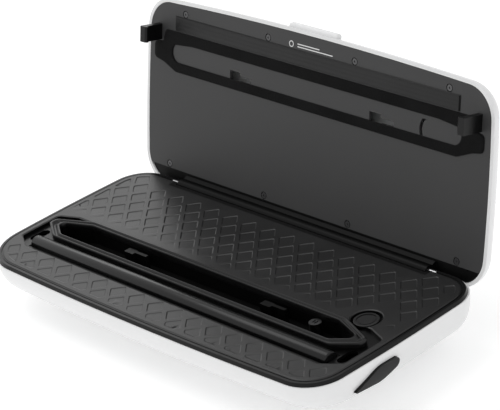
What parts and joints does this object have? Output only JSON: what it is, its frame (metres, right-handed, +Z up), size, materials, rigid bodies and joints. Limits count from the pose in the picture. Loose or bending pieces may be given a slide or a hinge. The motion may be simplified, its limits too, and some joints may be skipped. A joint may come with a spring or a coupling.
{
  "type": "vacuum sealer",
  "caption": "Countertop vacuum bag sealer with a hinged lid, seal bar, gasketed vacuum trough, side release buttons and patterned black deck.",
  "frame": {"origin": "on the floor under the centre of the bounding box of the open sealer", "axes": "+X along the seal bar to the user's right, +Y from the front edge to the hinge, +Z up"},
  "size_m": [0.406, 0.239, 0.2016],
  "materials": {
    "white_plastic": "satin white moulded shell",
    "black_plastic": "satin black",
    "grey_plate": "smooth satin charcoal",
    "panel_gloss": "gloss black",
    "key_plastic": "satin light grey",
    "lamp_lens": "clear tinted",
    "gasket_rubber": "soft satin",
    "bar_silicone": "smooth satin",
    "foam": "closed-cell foam",
    "seal_tape": "coated glass cloth",
    "element_metal": "bright ribbon",
    "tube_silicone": "milky",
    "pump_plastic": "moulded",
    "circuit_board": "solder mask",
    "steel": "plated"
  },
  "bodies": {
    "base": {"lower_housing": "white_plastic", "base_pan": "white_plastic", "deck_plate": "black_plastic", "drip_tray": "black_plastic", "chamber_gasket": "gasket_rubber", "seal_bar": "bar_silicone", "seal_bar_carrier": "black_plastic", "suction_port": "black_plastic", "vacuum_tube": "tube_silicone", "pump_motor": "steel", "pump_head": "pump_plastic", "pump_bracket": "steel", "main_pcb": "circuit_board", "power_supply": "black_plastic", "power_inlet": "black_plastic", "feet": "gasket_rubber", "housing_screws": "steel", "hinge_pins": "steel", "latch_switches": "black_plastic", "release_valve": "black_plastic", "deck_button_spring": "steel", "release_spring_left": "steel", "release_spring_right": "steel"},
    "lid": {"lid_shell": "white_plastic", "lid_plate": "grey_plate", "hinge_band": "black_plastic", "lid_screws": "steel", "heater_carrier": "black_plastic", "heating_element": "element_metal", "seal_tape": "seal_tape", "foam_gasket": "foam", "latch_hook_left": "black_plastic", "latch_hook_right": "black_plastic", "control_panel": "panel_gloss", "control_pcb": "circuit_board", "indicator_lamps": "lamp_lens"},
    "release_left": {"release_button_left": "black_plastic", "latch_slider_left": "black_plastic"},
    "release_right": {"release_button_right": "black_plastic", "latch_slider_right": "black_plastic"},
    "deck_button": {"deck_button": "black_plastic"},
    "seal_key": {"seal_key": "key_plastic"},
    "vacuum_key": {"vacuum_key": "key_plastic"},
    "stop_key": {"stop_key": "key_plastic"}
  },
  "joints": [
    {"name": "lid_hinge", "type": "hinge", "parent": "base", "child": "lid", "pos_m": [0, 0.0635, 0.04705], "axis": [1, 0, 0], "range_deg": [0, 103.74]},
    {"name": "release_left_press", "type": "slide", "parent": "base", "child": "release_left", "axis": [1, 0, 0], "range_m": [0, 0.0025], "stiffness_N_per_m": 800, "springref_m": -0.002, "deforming": ["release_spring_left"]},
    {"name": "release_right_press", "type": "slide", "parent": "base", "child": "release_right", "axis": [-1, 0, 0], "range_m": [0, 0.0025], "stiffness_N_per_m": 800, "springref_m": -0.002, "deforming": ["release_spring_right"]},
    {"name": "deck_button_press", "type": "slide", "parent": "base", "child": "deck_button", "axis": [0, 0, -1], "range_m": [0, 0.002], "stiffness_N_per_m": 400, "springref_m": -0.001, "deforming": ["deck_button_spring"]},
    {"name": "seal_key_press", "type": "slide", "parent": "lid", "child": "seal_key", "axis": [0, -0.9714, 0.2375], "range_m": [0, 0.0008], "stiffness_N_per_m": 600, "springref_m": -0.0005},
    {"name": "vacuum_key_press", "type": "slide", "parent": "lid", "child": "vacuum_key", "axis": [0, -0.9714, 0.2375], "range_m": [0, 0.0008], "stiffness_N_per_m": 600, "springref_m": -0.0005},
    {"name": "stop_key_press", "type": "slide", "parent": "lid", "child": "stop_key", "axis": [0, -0.9714, 0.2375], "range_m": [0, 0.0008], "stiffness_N_per_m": 600, "springref_m": -0.0005}
  ]
}
